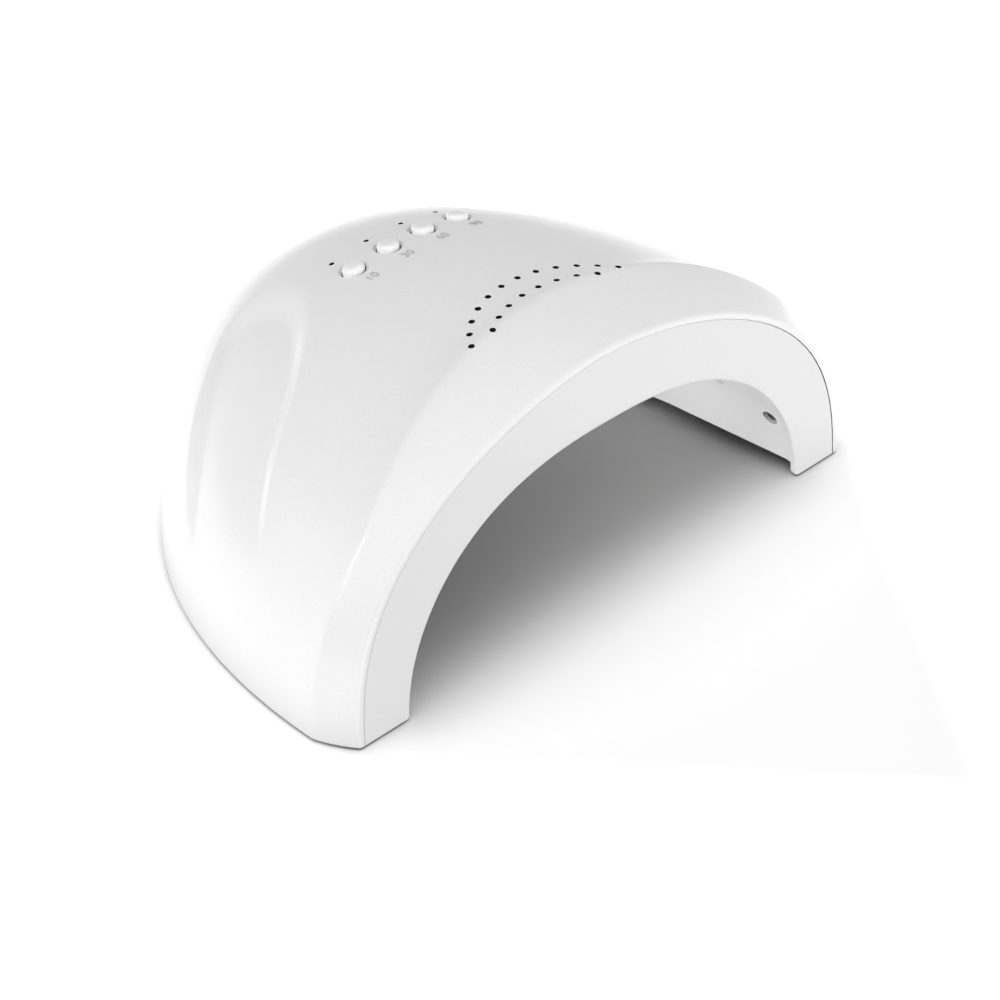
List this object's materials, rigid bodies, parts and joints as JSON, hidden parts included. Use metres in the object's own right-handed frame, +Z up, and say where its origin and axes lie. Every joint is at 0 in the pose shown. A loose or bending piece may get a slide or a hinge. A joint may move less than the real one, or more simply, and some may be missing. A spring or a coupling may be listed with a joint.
{
  "type": "uv nail lamp",
  "caption": "Table-top nail lamp: a glossy white hood over an open-bottomed tunnel for one hand, lit from inside, with push buttons on the crown.",
  "frame": {"origin": "centre of the footprint, on the table under the rubber feet", "axes": "+X to the right seen from the front, +Y towards the back, +Z up; the mouth opens towards -Y"},
  "size_m": [0.205, 0.1402, 0.0824],
  "materials": {
    "cover_gloss": "high gloss, slightly pearly white moulding",
    "liner_satin": "semi-gloss white moulding",
    "base_satin": "satin pale grey-white moulding",
    "button_white": "satin white button caps",
    "soft_rubber": "pale grey soft rubber",
    "circuit_green": "green solder mask",
    "circuit_white": "white solder mask on an aluminium core",
    "black_resin": "black moulded resin",
    "steel": "zinc-plated steel",
    "clear_resin": "clear cast resin",
    "capacitor_sleeve": "dark blue shrink sleeve",
    "red_wire": "red insulation",
    "black_wire": "black insulation",
    "white_wire": "white insulation"
  },
  "bodies": {
    "root": {"outer_cover": "cover_gloss", "inner_liner": "liner_satin", "base_frame": "base_satin", "rubber_foot_1": "soft_rubber", "rubber_foot_2": "soft_rubber", "rubber_foot_3": "soft_rubber", "rubber_foot_4": "soft_rubber", "case_screw_1": "steel", "case_screw_2": "steel", "case_screw_3": "steel", "case_screw_4": "steel", "case_screw_5": "steel", "case_screw_6": "steel", "board_screw_1": "steel", "board_screw_2": "steel", "control_board": "circuit_green", "emitter_board": "circuit_green", "receiver_board": "circuit_green", "controller_chip": "black_resin", "power_inlet": "black_resin", "ir_receiver": "black_resin", "switch_1": "black_resin", "switch_2": "black_resin", "switch_3": "black_resin", "switch_4": "black_resin", "capacitor": "capacitor_sleeve", "ir_emitter": "clear_resin", "indicator_light_1": "clear_resin", "indicator_light_2": "clear_resin", "indicator_light_3": "clear_resin", "indicator_light_4": "clear_resin", "left_led_board": "circuit_white", "right_led_board": "circuit_white", "upper_left_led_board": "circuit_white", "upper_right_led_board": "circuit_white", "top_led_board": "circuit_white", "rear_led_board": "circuit_white", "left_led_lead": "white_wire", "right_led_lead": "white_wire", "upper_left_led_lead": "white_wire", "upper_right_led_lead": "white_wire", "top_led_lead": "white_wire", "rear_led_lead": "white_wire", "emitter_lead": "black_wire", "receiver_lead": "black_wire", "inlet_black_wire": "black_wire", "inlet_red_wire": "red_wire"},
    "button_1": {"button_cap_1": "button_white", "switch_plunger_1": "steel"},
    "button_2": {"button_cap_2": "button_white", "switch_plunger_2": "steel"},
    "button_3": {"button_cap_3": "button_white", "switch_plunger_3": "steel"},
    "button_4": {"button_cap_4": "button_white", "switch_plunger_4": "steel"}
  },
  "joints": [
    {"name": "button_1_press", "type": "slide", "parent": "root", "child": "button_1", "axis": [0, -0.1273, -0.9919], "range_m": [0, 0.0005], "stiffness_N_per_m": 1500},
    {"name": "button_2_press", "type": "slide", "parent": "root", "child": "button_2", "axis": [0, -0.1273, -0.9919], "range_m": [0, 0.0005], "stiffness_N_per_m": 1500},
    {"name": "button_3_press", "type": "slide", "parent": "root", "child": "button_3", "axis": [0, -0.1273, -0.9919], "range_m": [0, 0.0005], "stiffness_N_per_m": 1500},
    {"name": "button_4_press", "type": "slide", "parent": "root", "child": "button_4", "axis": [0, -0.1273, -0.9919], "range_m": [0, 0.0005], "stiffness_N_per_m": 1500}
  ]
}
